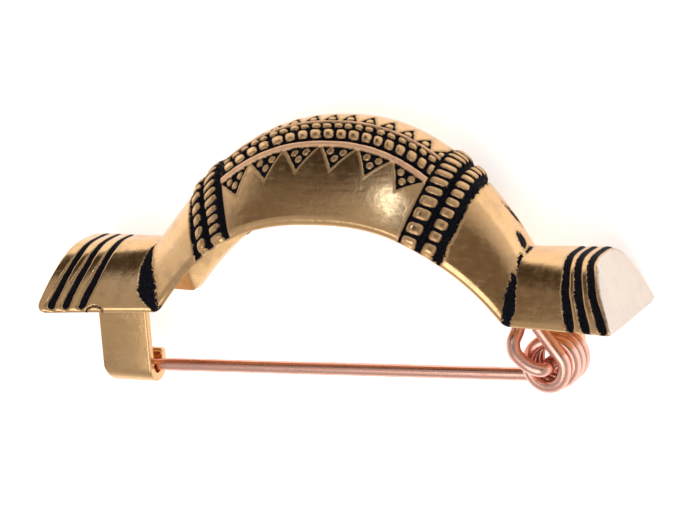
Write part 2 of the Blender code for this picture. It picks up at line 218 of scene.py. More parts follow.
def inner_surface(t, v):
    """The hollow back; flat over the solid end walls."""
    edge_x, edge_z, crest_x, crest_z, half_width, power, lean = section(t)
    rise = np.hypot(crest_x - edge_x, crest_z - edge_z)
    last = END - END_WALL / arm_length(1)
    keep = np.where(np.abs(t) > last, 0.0, (rise - WALL) / rise)
    share = (1.0 - np.abs(v) ** power) * keep
    return np.stack([mix(edge_x, crest_x, share), (half_width - WALL) * v + lean * share,
                     mix(edge_z, crest_z, share)], -1)


def arm_length(side):
    """Length of an arm along its lower edge."""
    return HALF_LENGTH - (BOW_HALF_SPAN + side * BOW_CENTRE)


def to_end(skin, side):
    """Distance to the casting's end, by an arm's length along its lower edge."""
    return (END - np.abs(skin.t)) * arm_length(side)


def run_length(side, v):
    """Length along the casting per unit of t at a collar, for each place across."""
    v = np.asarray(v, float)
    ahead = surface(side * (COLLAR_PLACE + 0.005) + 0.0 * v, v)
    behind = surface(side * (COLLAR_PLACE - 0.005) + 0.0 * v, v)
    return np.linalg.norm(ahead - behind, axis=-1) / 0.01


def even_collar(t, v):
    """t moved so that a collar keeps its width over the crest."""
    moved = t.copy()
    start, end = COLLAR_REACH
    for side in (-1, 1):
        mine = (t < 0.0) if side < 0 else (t >= 0.0)
        offset = np.abs(t) - COLLAR_PLACE
        share = 1.0 - smooth_step((np.abs(offset) - start) / (end - start))
        stretch = offset * (run_length(side, 1.0) / run_length(side, v) - 1.0)
        lean = COLLAR_LEAN[side] * (1.0 - np.abs(v) ** BOW_POWER)
        moved = np.where(mine, side * (np.abs(t) + (stretch + lean) * share), moved)
    return moved


class Skin:
    """A grid over the outside: its places, normals and distances in millimetres."""

    def __init__(self, t_values, v_values):
        self.t, self.v = np.meshgrid(t_values, v_values, indexing="ij")
        self.moved = even_collar(self.t, self.v)
        self.places = surface(self.moved, self.v)
        step = 1e-4
        along = surface(even_collar(self.t + step, self.v), self.v) \
            - surface(even_collar(self.t - step, self.v), self.v)
        inside = np.clip(self.v, -1.0 + step, 1.0 - step)
        across = surface(self.moved, inside + step) - surface(self.moved, inside - step)
        normal = np.cross(along, across)
        self.normals = normal / np.linalg.norm(normal, axis=-1, keepdims=True)
        run = np.linalg.norm(np.diff(self.places, axis=1), axis=-1)
        self.near = np.concatenate([np.zeros((len(t_values), 1)), np.cumsum(run, 1)], 1)
        self.far = self.near[:, -1:] - self.near
        self.side = np.where(self.t < 0.0, -1, 1)
        self.share = 1.0 - np.abs(self.v) ** 2.5


# ---------------------------------------------------------------- ornament of the bow
RIDGE_V, RIDGE_SLOPE, RIDGE_SAG = -0.546, -0.019, -0.204
NEAR_BEAD_PITCH, FAR_BEAD_PITCH = 1.36, 1.125
TRIANGLE_PITCH, TRIANGLE_SHIFT = 4.2, -0.70
TRIANGLE_BASE, TRIANGLE_HEIGHT = 3.65, 2.42
SMALL_PITCH, SMALL_SHIFT, SMALL_BASE, SMALL_HEIGHT = 1.914, -0.44, 1.66, 1.45
FLOOR = -0.24
BED_START, BED_END = 0.42, 2.80      # the bead bed, measured from the near ridge
RIDGES = ((0.12, 0.32, 0.20), (2.92, 0.15, 0.14))  # middle, half width, rise
NEAR_BEAD_RISE, FAR_BEAD_RISE = 0.40, 0.36
PELLETS = ((-0.78, 0.46), (0.68, 0.50), (-0.02, 1.24))
PELLET_RADIUS, PELLET_RISE = 0.40, 0.17
TRIANGLE_DROP = 0.21                 # from the near ridge to the triangles' bases
SMALL_START, SMALL_FLOOR = 3.12, -0.15
CORE_RADIUS, CORE_RISE, CORE_UP = 0.37, 0.19, 0.44
DOME_POWER, BEAD_SQUARENESS = 0.42, 3.4
PLAIN = -0.4                         # patina distance of metal with no patina near


def ridge_line(t):
    """The bead band's near ridge."""
    return surface(t, RIDGE_V + RIDGE_SLOPE * t + RIDGE_SAG * t * t)


def band_places(skin):
    """Distance along the near ridge, and away from it over the crest (+)."""
    t = np.linspace(-0.62, 0.62, 2481)
    line = ridge_line(t)
    run = run_along(line)
    run -= np.interp(0.0, t, run)
    nearest = np.clip(skin.t, -0.6, 0.6)
    for _ in range(6):
        ahead, behind = ridge_line(nearest + 1e-3), ridge_line(nearest - 1e-3)
        way = (ahead - behind) / 2e-3
        gap = skin.places - ridge_line(nearest)
        nearest = np.clip(nearest + (gap * way).sum(-1) / (way * way).sum(-1), -0.61, 0.61)
    distance = np.linalg.norm(skin.places - ridge_line(nearest), axis=-1)
    ridge_v = RIDGE_V + RIDGE_SLOPE * nearest + RIDGE_SAG * nearest ** 2
    return np.interp(nearest, t, run), np.where(skin.v > ridge_v, distance, -distance)


def triangle_inside(dx, dy, base, height):
    """Distance inside a triangle whose base lies on dy = 0 and whose apex is at +height."""
    slant = np.hypot(height, base / 2.0)
    side = (height * (base / 2.0 - np.abs(dx)) - dy * base / 2.0) / slant
    return np.minimum(dy, side)


def bead(x, y, half_x, half_y):
    """A bead's height share, and the distance inside its outline."""
    body = 1.0 - np.abs(x / half_x) ** BEAD_SQUARENESS - np.abs(y / half_y) ** BEAD_SQUARENESS
    inside = (1.0 - (1.0 - body) ** (1.0 / BEAD_SQUARENESS)) * np.minimum(half_x, half_y)
    return np.clip(body, 0.0, 1.0) ** DOME_POWER, inside


def row_of_beads(p, q, pitch, squeeze, shift, middle, half_across, gap, lean, seed):
    """The nearest of a row of worn, domed beads: its height share and distance inside it."""
    p = p - lean * (q - middle) + 0.10 * wobble(p / 2.3, seed)
    place = (p - shift) / pitch + squeeze * p * p
    number = np.round(place)
    odd = wobble(number * 1.9, seed + 3)
    half_along = (pitch - gap) / 2.0 * (1.0 + 0.06 * odd)
    half_across = half_across * (1.0 + 0.05 * odd)
    return bead((place - number) * pitch - 0.05 * odd, q - middle - 0.04 * odd,
                half_along, half_across)


BOW_SINK = 0.035  # keeps the smooth bow within the part's flat facets


def bow_ornament(skin):
    """Relief, patina distance, raggedness and copper tint of the bow's band."""
    p, q = band_places(skin)
    height = np.full_like(p, -BOW_SINK)
    dark = np.full_like(p, PLAIN)
    tint = np.zeros_like(p)
    # the sunk bed between the two smooth ridges
    bed = np.minimum(q - BED_START, BED_END - q)
    height = mix(height, FLOOR, ramp(bed, -0.05, 0.06))
    dark = np.maximum(dark, bed)
    # two rows of beads standing in it
    near = row_of_beads(p, q, NEAR_BEAD_PITCH, 0.0035, -0.15, 1.34, 0.60, 0.24, -0.22, 1.0)
    far = row_of_beads(p, q, FAR_BEAD_PITCH, 0.0, -0.60, 2.42, 0.35, 0.17, -0.28, 2.0)
    for (dome, inside), rise in ((near, NEAR_BEAD_RISE), (far, FAR_BEAD_RISE)):
        height += rise * dome
        dark = np.where(inside > -0.2, np.minimum(dark, 0.05 - inside), dark)
    # the ridges
    for middle, half_width, rise in RIDGES:
        body = roll(np.abs(q - middle) ** 2.0, half_width ** 2.0)
        height = np.where(np.abs(q - middle) < half_width, np.maximum(height, rise * body),
                          height)
        dark = np.where(np.abs(q - middle) < half_width + 0.02,
                        np.minimum(dark, np.abs(q - middle) - half_width), dark)
        tint = np.maximum(tint, ramp(half_width + 0.05 - np.abs(q - middle), 0.0, 0.1))
    # six recessed triangles with three pellets each, hanging from the near ridge
    count = np.clip(np.round((p - TRIANGLE_SHIFT) / TRIANGLE_PITCH - 0.5), -3, 2) + 0.5
    middle = TRIANGLE_SHIFT + TRIANGLE_PITCH * count
    lean = mix(0.26, 0.0, ramp(middle, -4.0, 9.5))
    down = -q - TRIANGLE_DROP
    across = p - middle + lean * down
    inside = triangle_inside(across, down, TRIANGLE_BASE + 0.12 * wobble(count * 3.0, 4.0),
                             TRIANGLE_HEIGHT + 0.2 * wobble(count * 1.7, 2.0))
    height = mix(height, FLOOR, ramp(inside, -0.03, 0.07))
    dark = np.maximum(dark, np.minimum(inside, 0.4))
    lip = np.exp(-((inside + 0.11) / 0.07) ** 2) * (down > -0.02)
    height += 0.03 * lip
    for x, y in PELLETS:
        place = 0.06 * wobble(count * 5.0 + x, 6.0)
        radius = np.hypot((across - x - place) * 0.92, down - y - 0.5 * place)
        pellet = PELLET_RADIUS - radius
        height += np.where(pellet > 0.0, PELLET_RISE * cushion(pellet, 0.10), 0.0)
        dark = np.where(pellet > -0.3, np.minimum(dark, 0.02 - pellet), dark)
    # a row of small outlined triangles with one pellet beyond the far ridge
    count = np.round((p - SMALL_SHIFT) / SMALL_PITCH)
    count = np.clip(count, -6, 6)
    up = q - SMALL_START - 0.05 * wobble(count * 2.0, 7.0)
    across = p - SMALL_SHIFT - SMALL_PITCH * count - 0.08 * wobble(count * 3.0, 8.0)
    inside = triangle_inside(across, up, SMALL_BASE, SMALL_HEIGHT)
    height = mix(height, SMALL_FLOOR, ramp(inside, -0.02, 0.06))
    dark = np.maximum(dark, inside)
    core = CORE_RADIUS - np.hypot(across, up - CORE_UP)
    height += np.where(core > 0.0, CORE_RISE * cushion(core, 0.2), 0.0)
    dark = np.where(core > -0.1, np.minimum(dark, 0.02 - core), dark)
    return height, dark, tint


def collar_relief(skin):
    """Two cut ribs in black moats: height, patina distance, raggedness, place in the moat."""
    height = np.zeros_like(skin.t)
    dark = np.full_like(skin.t, PLAIN)
    rag = np.zeros_like(skin.t)
    bed = np.full_like(skin.t, -1.0)
    for side in (-1, 1):
        mine = skin.side == side
        offset = (np.abs(skin.t) - COLLAR_PLACE) * float(run_length(side, 1.0))
        edge = RIB_PLACE[side, 1] + RIB_HALF_WIDTH[side, 1]
        start = RIB_PLACE[side, -1] - RIB_HALF_WIDTH[side, -1] - INNER_BAND[side]
        beyond = edge + OUTER_BAND[side] + 0.10 * wobble(skin.near * 0.8, 5.0 + side)
        moat = np.minimum(offset - start, beyond - offset)
        moat = np.minimum(moat, skin.near - 0.10)
        rim = 1.0 - ramp(skin.near, RIM_HEIGHT[side] - 0.1, RIM_HEIGHT[side] + 0.15)
        shape = mix(0.0, -MOAT_DEPTH, ramp(moat, -0.05, 0.14))
        black = np.minimum(moat, 0.5)
        for which in (-1, 1):
            across = offset - RIB_PLACE[side, which]
            run = BeadRun(side, which)
            pitch = 1.0 / run.rate(skin.near)
            tilt = mix(*BEAD_TILT[side, which], ramp(skin.near, 2.0, 9.0))
            place = run(skin.near) + tilt * across / pitch
            number = np.round(place)
            half_along = (0.42 - 0.02 / pitch + 0.015 * wobble(number * 1.7, run.seed)) * pitch
            half_width = RIB_HALF_WIDTH[side, which] * mix(0.95, 1.05, ramp(skin.near, 3.0, 6.0))
            half_width = half_width * (1.0 + 0.06 * wobble(number, run.seed))
            cell, inside = bead(across, (place - number) * pitch, half_width, half_along)
            bar = np.clip(1.0 - np.abs(across / half_width) ** BEAD_SQUARENESS, 0.0, 1.0)
            bar = bar ** DOME_POWER
            dome = np.maximum(0.62 * bar + 0.38 * cell, 0.8 * rim * bar)
            shape += (RIB_HEIGHT + MOAT_DEPTH) * (1.0 - 0.4 * rim) * dome
            body = np.maximum(inside, np.where(rim > 0.5, half_width - np.abs(across), -1.0))
            black = np.minimum(black, 0.055 - body)
        height = np.where(mine, shape, height)
        dark = np.where(mine, black, dark)
        bed = np.where(mine, moat, bed)
        ragged = ramp(offset, edge + 0.1, edge + 0.3)
        rag = np.where(mine, np.maximum(0.02, (0.10 if side < 0 else 0.22) * ragged), rag)
    return height, dark, rag, bed


class BeadRun:
    """Numbers the beads of one rib up from the lower edge; they get shorter upwards."""

    def __init__(self, side, which):
        self.low, self.high, self.start = RIB_BEADS[side, which]
        self.seed = 3.0 * side + which

    def rate(self, distance):
        """Beads per millimetre."""
        return 1.0 / mix(self.low, self.high, ramp(distance, 2.0, 9.0))

    def __call__(self, distance):
        x = np.linspace(0.0, 32.0, 3201)
        total = np.cumsum(self.rate(x)) * 0.01
        total -= np.interp(self.start, x, total)
        place = np.interp(distance, x, total)
        return place + 0.07 * wobble(place * 1.3, self.seed)


def edge_rounding(skin):
    """How far the lower edges are rounded back, and the ends' corners."""
    arm = ramp(np.abs(skin.t), 0.95, 1.05)
    near_radius = mix(EDGE_RADIUS["bow"], EDGE_RADIUS["arm"], arm)
    back = np.zeros_like(skin.t)
    for distance, radius in ((skin.near, near_radius), (skin.far, EDGE_RADIUS["far"])):
        over = np.clip(radius - distance, 0.0, radius)
        back += 0.62 * (radius - np.sqrt(radius ** 2 - over ** 2))
    end = to_end(skin, 1)
    crest = ramp(skin.share, 0.3, 0.9)
    radius = mix(0.22, 0.50, crest)
    over = np.clip(radius - end, 0.0, radius)
    return back + 0.8 * (radius - np.sqrt(radius ** 2 - over ** 2))


def corner_rounding(skin):
    """How far the ends' lower corners are rounded back along the casting."""
    end = to_end(skin, 1)
    back = np.zeros_like(end)
    for side, radius in CORNER_RADIUS.items():
        fade = np.clip(1.0 - end / (4.0 * radius), 0.0, 1.0)
        over = np.clip(radius - np.minimum(skin.near, skin.far), 0.0, radius)
        rounded = fade * (radius - np.sqrt(radius ** 2 - 0.97 * over ** 2))
        back = np.where(skin.side == side, rounded, back)
    return back


GROOVES = {-1: ((1.50, 1.16), (3.14, 1.77), (5.05, 2.32)),
           1: ((0.72, 0.0), (2.63, 0.0), (4.36, 0.0))}


# Patina blots in the necks' creases: places up from the lower edge, and widths there
LEFT_BLOT = ((0.0, 0.5, 1.3, 2.3, 3.4, 4.8, 5.8, 6.8, 7.4, 7.8),
             (0.3, 0.8, 1.7, 2.15, 1.95, 1.75, 1.3, 0.85, 0.4, -0.3))
RIGHT_BLOT = ((0.0, 1.5, 3.4, 4.9, 5.3, 5.6, 6.6, 7.4, 8.2),
              (0.45, 0.85, 0.70, 0.42, -0.10, -0.05, 0.30, 0.24, -0.3))
RIGHT_BLOT_MIDDLE = ((0.0, 1.6, 3.6, 6.6), (0.25, 0.36, 0.05, -0.22))
RIGHT_SPOTS = ((-1.35, 8.6, 1.1, 0.62), (0.35, 8.9, 0.5, 0.9), (-4.0, 10.6, 1.1, 0.42))
NICK_PLACE, NICK_UP = 6.75, 0.05


def arm_relief(skin):
    """Three grooves at each end, a nick at the catch, a painted shade line along the right end's
    bevel, and patina in the neck's crease.
    """
    height = np.zeros_like(skin.t)
    dark = np.full_like(skin.t, PLAIN)
    rag = np.zeros_like(skin.t)
    for side in (-1, 1):
        mine = skin.side == side
        end = to_end(skin, side)
        for number, (place, lean) in enumerate(GROOVES[side]):
            sway = np.interp(skin.v, (-1.0, -0.8, -0.5, -0.2, 0.1), (0.0, 0.36, 0.15, -0.20, -0.30))
            middle = place + lean * skin.share + (sway if side > 0 else 0.0)
            middle = middle + 0.04 * wobble(skin.near * 0.9, number + side)
            half_width = 0.41 + 0.03 * wobble(skin.near * 0.7, number)
            half_width = half_width - 0.09 * ramp(skin.near, 5.5, 9.5)
            low = 0.38 + (half_width if side < 0 else 1.6 * half_width)
            high = 12.0 if side < 0 else 11.0
            beyond = np.maximum(low - skin.near, 0.0) + np.maximum(skin.near - high, 0.0) * 0.12
            taper = 0.40 if side > 0 else 1.0
            gap = end - middle
            slope = np.gradient(gap, axis=1) / np.maximum(np.gradient(skin.near, axis=1), 1e-6)
            inside = half_width - np.hypot(gap / np.hypot(1.0, slope), beyond * taper)
            depth = mix(0.32, 0.12, ramp(skin.near, 5.0, 8.5))
            height = np.where(mine, height - depth * ramp(inside, -0.22, 0.14), height)
            inward = ramp(end - middle, 0.0, 0.2) * (side > 0)
            spread = 0.01 + 0.10 * ramp(skin.near, 5.0, 8.5) + 0.13 * inward
            spread = np.minimum(inside + spread, end - 0.26)
            dark = np.where(mine, np.maximum(dark, spread), dark)
            ragged = 0.10 * inward + 0.02
            rag = np.where(mine & (inside > -0.3), np.maximum(rag, ragged), rag)
    end = to_end(skin, 1)
    # painted shade: a thin dark line along the right end's bevel on the near side, drawn as a faint
    # patina
    bevel = np.where((skin.side > 0) & (np.abs(skin.v + 0.72) < 0.24),
                     0.10 - np.abs(end - 0.08), -0.4)
    dark = np.maximum(dark, np.minimum(bevel, -0.012))
    # left crease: one blot, widest low down
    neck = (np.abs(skin.t) - 1.0) * arm_length(-1)
    left = skin.side < 0
    width = np.interp(skin.near, *LEFT_BLOT)
    half, middle = width / 2.0, width / 2.0 - 0.25 + 0.35 * ramp(skin.near, 2.0, 6.5)
    blot = half - np.abs(neck - middle)
    dark = np.where(left, np.maximum(dark, blot), dark)
    rag = np.where(left & (blot > -0.5), 0.22, rag)
    height = np.where(left, height - 0.05 * ramp(blot, -0.1, 0.2), height)
    # right crease: broken blots along a pitted seam
    right = skin.side > 0
    along = np.where(neck < 0.0, neck * 1.7, neck)
    half = np.interp(skin.near, *RIGHT_BLOT)
    middle = np.interp(skin.near, *RIGHT_BLOT_MIDDLE)
    blot = half - np.abs(along - middle)
    seam = 0.55 - np.abs(along)
    for x, d, rx, rd in RIGHT_SPOTS:
        spot = (1.0 - np.hypot((along - x) / rx, (skin.near - d) / rd)) * min(rx, rd)
        blot = np.maximum(blot, spot)
    dark = np.where(right, np.maximum(dark, blot), dark)
    rag = np.where(right & (blot > -0.5), 0.26, rag)
    pits = ramp(seam, 0.0, 0.4) * ramp(9.0 - skin.near, 0.0, 1.5)
    grain = wobble(skin.near * 4.1, 1.0) * wobble(skin.near * 9.7 + neck * 5.0, 2.0)
    height = np.where(right, height + 0.05 * pits * grain - 0.04 * ramp(blot, -0.1, 0.2),
                      height)
    # a bent-up nick in the left arm's lower edge
    place = to_end(skin, -1)
    ring = np.hypot((place - NICK_PLACE) / 1.05, (skin.near - NICK_UP) / 0.75)
    nick = (0.09 - np.abs(ring - 0.85 - 0.06 * wobble(place * 4.0, 3.0))) * 0.8
    height = np.where(left, height - 0.12 * ramp(nick, -0.02, 0.06), height)
    dark = np.where(left, np.maximum(dark, nick), dark)
    return height, dark, rag


def relief(skin):
    """Height over the plain casting, and what the patina, the painted shade and the polish follow.
    """
    bow_height, bow_dark, tint = bow_ornament(skin)
    collar_height, collar_dark, collar_rag, bed = collar_relief(skin)
    arm_height, arm_dark, arm_rag = arm_relief(skin)
    in_bed = ramp(bed, -0.02, 0.05)
    inner = np.abs(skin.t) < COLLAR_PLACE
    outside = np.where(inner, bow_height, arm_height)
    height = mix(outside * (1.0 - in_bed) + collar_height, collar_height, in_bed)
    dark = np.where(bed > 0.0, collar_dark,
                    np.maximum(np.where(inner, bow_dark, arm_dark), collar_dark))
    rag = np.where(bed > -0.4, collar_rag, np.where(inner, 0.03, arm_rag))
    tint = np.where(inner, tint, 0.0) * (1.0 - in_bed)
    return height - edge_rounding(skin), dark, rag, tint


# ---------------------------------------------------------------- meshes
INNER_STEP = 4


def new_mesh(name, points, faces, attributes, creases=None):
    """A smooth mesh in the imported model's frame; an edge whose ends share a crease is sharp."""
    mesh = bpy.data.meshes.new(name)
    places = to_world(points)
    places[:, 2] = np.maximum(places[:, 2], 0.0)
    mesh.from_pydata(places.tolist(), [], faces)
    mesh.update()
    mesh.shade_smooth()
    for key, values in attributes.items():
        kind = "FLOAT_VECTOR" if values.ndim == 2 else "FLOAT"
        layer = mesh.attributes.new(key, kind, "POINT")
        layer.data.foreach_set("vector" if values.ndim == 2 else "value",
                               values.astype(np.float32).ravel())
    if creases is not None:
        ends = np.zeros(len(mesh.edges) * 2, np.int32)
        mesh.edges.foreach_get("vertices", ends)
        one, two = creases[ends[0::2]], creases[ends[1::2]]
        sharp = (one & two) > 0
        layer = mesh.attributes.new("sharp_edge", "BOOLEAN", "EDGE")
        layer.data.foreach_set("value", sharp)
    piece = bpy.data.objects.new(name, mesh)
    bpy.context.scene.collection.objects.link(piece)
    return piece


def even_sections(start, end, step):
    """t at even steps along the casting, between its edge and its crest."""
    t = np.linspace(start, end, 800)
    edge, crest = surface(t, -1.0 + 0.0 * t), surface(t, 0.0 * t)
    return even_line(t, 0.5 * (edge + crest), step, extra=2)


def shell(name, start, end, step):
    """One stretch of the casting: relief outside, plain hollow back, closed all round."""
    t = even_sections(start, end, step)
    half = 0.5 * (start + end)
    v = np.linspace(-1.0, 1.0, 800)
    v = even_line(v, surface(half + 0.0 * v, v), step, group=INNER_STEP)
    skin = Skin(t, v)
    height, dark, rag, tint = relief(skin)
    outside = skin.places + skin.normals * height[..., None]
    outside[..., 0] -= np.sign(skin.t) * corner_rounding(skin)
    inside = inner_surface(skin.moved[:, ::INNER_STEP], skin.v[:, ::INNER_STEP])
    rows, columns = outside.shape[:2]
    inner_columns = inside.shape[1]
    outer = np.arange(rows * columns).reshape(rows, columns)
    inner = rows * columns + np.arange(rows * inner_columns).reshape(rows, inner_columns)
    faces = quads(outer)
    faces += quads(inner[:, ::-1])
    faces += quads(np.stack([inner[:, 0], outer[:, 0]], 1))
    faces += quads(np.stack([outer[:, -1], inner[:, -1]], 1))
    for row, turn in ((0, -1), (rows - 1, 1)):
        for k in range(inner_columns - 1):
            rim = outer[row, k * INNER_STEP:(k + 1) * INNER_STEP + 1]
            face = [*rim[::-1], inner[row, k], inner[row, k + 1]]
            faces.append([int(n) for n in face[::turn]])
    creases = np.zeros(rows * columns + rows * inner_columns, np.int32)
    creases[outer[0]] |= 1
    creases[inner[0]] |= 1
    creases[outer[-1]] |= 2
    creases[inner[-1]] |= 2
    creases[inner[:, 0]] |= 4
    creases[inner[:, -1]] |= 8
    creases[outer[:, 0]] |= 16
    creases[outer[:, -1]] |= 32
    plain = np.zeros(rows * inner_columns)
    points = np.concatenate([outside.reshape(-1, 3), inside.reshape(-1, 3)])
    # painted reflection: the end facets are painted pale cream and matt, standing in for the white
    # surroundings they reflect
    painted_end_glare = np.zeros(len(points))
    for row, place in ((0, start), (-1, end)):
        if abs(place) == END:
            painted_end_glare[outer[row]] = 1.0
            painted_end_glare[inner[row]] = 1.0
    worn = ramp(dark, -0.39, -0.25) * (np.abs(skin.t) < 0.72)
    attributes = {"painted_end_glare": painted_end_glare, "dark": np.r_[dark.ravel(), plain + PLAIN],
                  "rag": np.r_[rag.ravel(), plain], "tint": np.r_[tint.ravel(), plain],
                  "worn": np.r_[worn.ravel(), plain],
                  "back": np.r_[0.0 * dark.ravel(), plain + 1]}
    return new_mesh(name, points, faces, attributes, creases)


def quads(grid):
    """Faces between the rows of a grid of vertex numbers."""
    corners = np.stack([grid[:-1, :-1], grid[1:, :-1], grid[1:, 1:], grid[:-1, 1:]], -1)
    return corners.reshape(-1, 4).tolist()


def tube(name, route, radii, sides=28):
    """Round wire along a route, its ends softly rounded, with lengthwise draw lines."""
    route, radii = np.asarray(route, float), np.asarray(radii, float)
    way = np.gradient(route, axis=0)
    way /= np.linalg.norm(way, axis=1, keepdims=True)
    first = np.cross(way[0], [0.0, 0.31, 0.95])
    across = [first / np.linalg.norm(first)]
    for k in range(1, len(route)):
        turn = across[-1] - way[k] * (across[-1] @ way[k])
        across.append(turn / np.linalg.norm(turn))
    across = np.array(across)
    up = np.cross(way, across)
    run = run_along(route)
    angle = np.linspace(0.0, 2.0 * math.pi, sides, endpoint=False)
    ring = (across[:, None] * np.cos(angle)[None, :, None]
            + up[:, None] * np.sin(angle)[None, :, None])
    points = route[:, None] + ring * radii[:, None, None]
    wire = np.stack([np.broadcast_to(run[:, None], points.shape[:2]),
                     np.broadcast_to(np.cos(angle), points.shape[:2]),
                     np.broadcast_to(np.sin(angle), points.shape[:2])], -1)
    rows = len(route)
    grid = np.arange(rows * sides).reshape(rows, sides)
    faces = quads(np.concatenate([grid, grid[:, :1]], 1))
    faces.append([int(n) for n in grid[0]])
    faces.append([int(n) for n in grid[-1, ::-1]])
    return new_mesh(name, points.reshape(-1, 3), faces, {"wire": wire.reshape(-1, 3)})


def domed_ends(route, radii, domes):
    """Radii of a wire whose two ends are rounded off over the given lengths."""
    run = run_along(route)
    radii = np.array(radii, float)
    for distance, dome in zip((run, run[-1] - run), domes):
        near = np.clip(1.0 - distance / dome, 0.0, 1.0)
        radii *= np.sqrt(1.0 - (0.96 * near) ** 2)
    return radii


def pin_height(x):
    """Height of the pin's middle line at x."""
    reach = COIL_CENTRE[0] - PIN_TIP_X
    return COIL_CENTRE[2] - COIL_RADIUS - PIN_DROP * (COIL_CENTRE[0] - x) / reach


def pin_spring():
    """The pin, and the coil it springs from, in one wire."""
    root = COIL_CENTRE + (0.0, PIN_Y, -COIL_RADIUS)
    tip = np.array([PIN_TIP_X, PIN_Y, pin_height(PIN_TIP_X)])
    share = np.r_[np.linspace(0.0, 0.03, 12), np.linspace(0.035, 0.985, 90)][:, None]
    shank = tip + (root - tip) * share
    turn = np.linspace(0.0, COIL_TURNS, 260)[:, None]
    angle = 2.0 * math.pi * turn - math.pi / 2.0
    radius = mix(COIL_RADIUS, NEAR_TURN_RADIUS, ramp(turn, *NARROWING))
    coil = COIL_CENTRE + np.hstack([radius * np.cos(angle), PIN_Y - COIL_PITCH * turn,
                                    radius * np.sin(angle)])
    onward = np.array([-math.sin(angle[-1, 0]), 0.0, math.cos(angle[-1, 0])])
    end = coil[-1] + COIL_END_LENGTH * np.linspace(0.0, 1.0, 31)[1:, None] * onward
    route = np.vstack([shank, coil, end])
    taper = np.minimum(1.0, PIN_TIP_SHARE + (1.0 - PIN_TIP_SHARE)
                       * (route[:, 0] - PIN_TIP_X) / PIN_TAPER)
    return tube("pin_and_coil", route, domed_ends(route, WIRE_RADIUS * taper, (0.25, 0.3)))


def smooth_route(stops, steps):
    """Points along a Catmull-Rom curve through a wire's stops."""
    stops = np.asarray(stops, float)
    ends = np.vstack([2.0 * stops[0] - stops[1], stops, 2.0 * stops[-1] - stops[-2]])
    t = np.linspace(0.0, 1.0, steps, endpoint=False)[:, None]
    route = []
    for a, b, c, d in zip(ends, ends[1:], ends[2:], ends[3:]):
        route.append(0.5 * (2.0 * b + (c - a) * t + (2.0 * a - 5.0 * b + 4.0 * c - d) * t ** 2
                            + (3.0 * b - a - 3.0 * c + d) * t ** 3))
    return np.vstack([*route, stops[-1:]])


def axle():
    """The wire through lug and coil, bent up in front of the coil's near turn."""
    straight = COIL_CENTRE + np.stack([np.zeros(30), np.linspace(AXLE_BACK_Y, 0.0, 30),
                                       np.zeros(30)], 1)
    front = COIL_CENTRE + (0.0, AXLE_FRONT_Y, 0.0)
    bend = smooth_route([front + offset for offset in AXLE_BEND], 14)
    route = np.vstack([straight, bend])
    return tube("axle", route, domed_ends(route, np.full(len(route), WIRE_RADIUS),
                                          (0.3, 0.3)))


def outline(half_x, half_y, radius, corner_steps=5):
    """A rounded rectangle's outline, anticlockwise."""
    turn = np.linspace(0.0, math.pi / 2.0, corner_steps)
    corners = []
    for number, (sx, sy) in enumerate(((1, 1), (-1, 1), (-1, -1), (1, -1))):
        angle = turn + number * math.pi / 2.0
        corners.append(np.stack([sx * (half_x - radius) + radius * np.cos(angle),
                                 sy * (half_y - radius) + radius * np.sin(angle)], 1))
    return np.vstack(corners)


def catch():
    """The flat strip that hangs from the left arm and is bent into a hook."""
    bend = np.array([PIN_Y, pin_height((CATCH_LEFT + CATCH_RIGHT) / 2.0) + CATCH_LIFT])
    down = np.stack([np.full(24, bend[0] - CATCH_BEND_RADIUS),
                     np.linspace(CATCH_ROOT_Z, bend[1], 24, endpoint=False)], 1)
    angle = np.linspace(math.pi, 2.0 * math.pi, 40)[:, None]
    hook = bend + CATCH_BEND_RADIUS * np.hstack([np.cos(angle), np.sin(angle)])
    lip = hook[-1] + np.stack([np.zeros(12), CATCH_LIP_RISE * smooth_step(
        np.linspace(0.0, 1.0, 13)[1:] * 0.5) * 2.0], 1)
    path = np.vstack([down, hook, lip])
    narrow = np.r_[np.zeros(24), np.linspace(0.0, 12.0 / 13.0, 40), np.linspace(12.0 / 13.0, 1, 12)]
    way = np.gradient(path, axis=0)
    way /= np.linalg.norm(way, axis=1, keepdims=True)
    run = run_along(path)
    left_to_go = run[-1] - run
    rings = []
    for k, ((y, z), (wy, wz)) in enumerate(zip(path, way)):
        left = CATCH_LEFT + CATCH_NARROWING * narrow[k]
        soft = math.sqrt(max(0.0, 1.0 - max(0.0, 1.0 - left_to_go[k] / 0.3) ** 2))
        half_x = (CATCH_RIGHT - left) / 2.0 - 0.22 * (1.0 - soft)
        half_y = CATCH_THICKNESS / 2.0 * (0.55 + 0.45 * soft)
        ring = outline(half_x, half_y, min(0.2, half_y * 0.8), 6)
        centre = (CATCH_RIGHT + left) / 2.0
        rings.append(np.stack([centre + ring[:, 0], y + ring[:, 1] * wz, z - ring[:, 1] * wy], 1))
    points = np.array(rings)
    rows, columns = points.shape[:2]
    grid = np.arange(rows * columns).reshape(rows, columns)
    faces = quads(np.concatenate([grid, grid[:, :1]], 1)[:, ::-1])
    faces += [[int(n) for n in grid[0, ::-1]], [int(n) for n in grid[-1]]]
    plain = np.zeros(rows * columns)
    return new_mesh("catch_plate", points.reshape(-1, 3), faces,
                    {"dark": plain + PLAIN, "rag": plain, "tint": plain, "back": plain + 0.35})


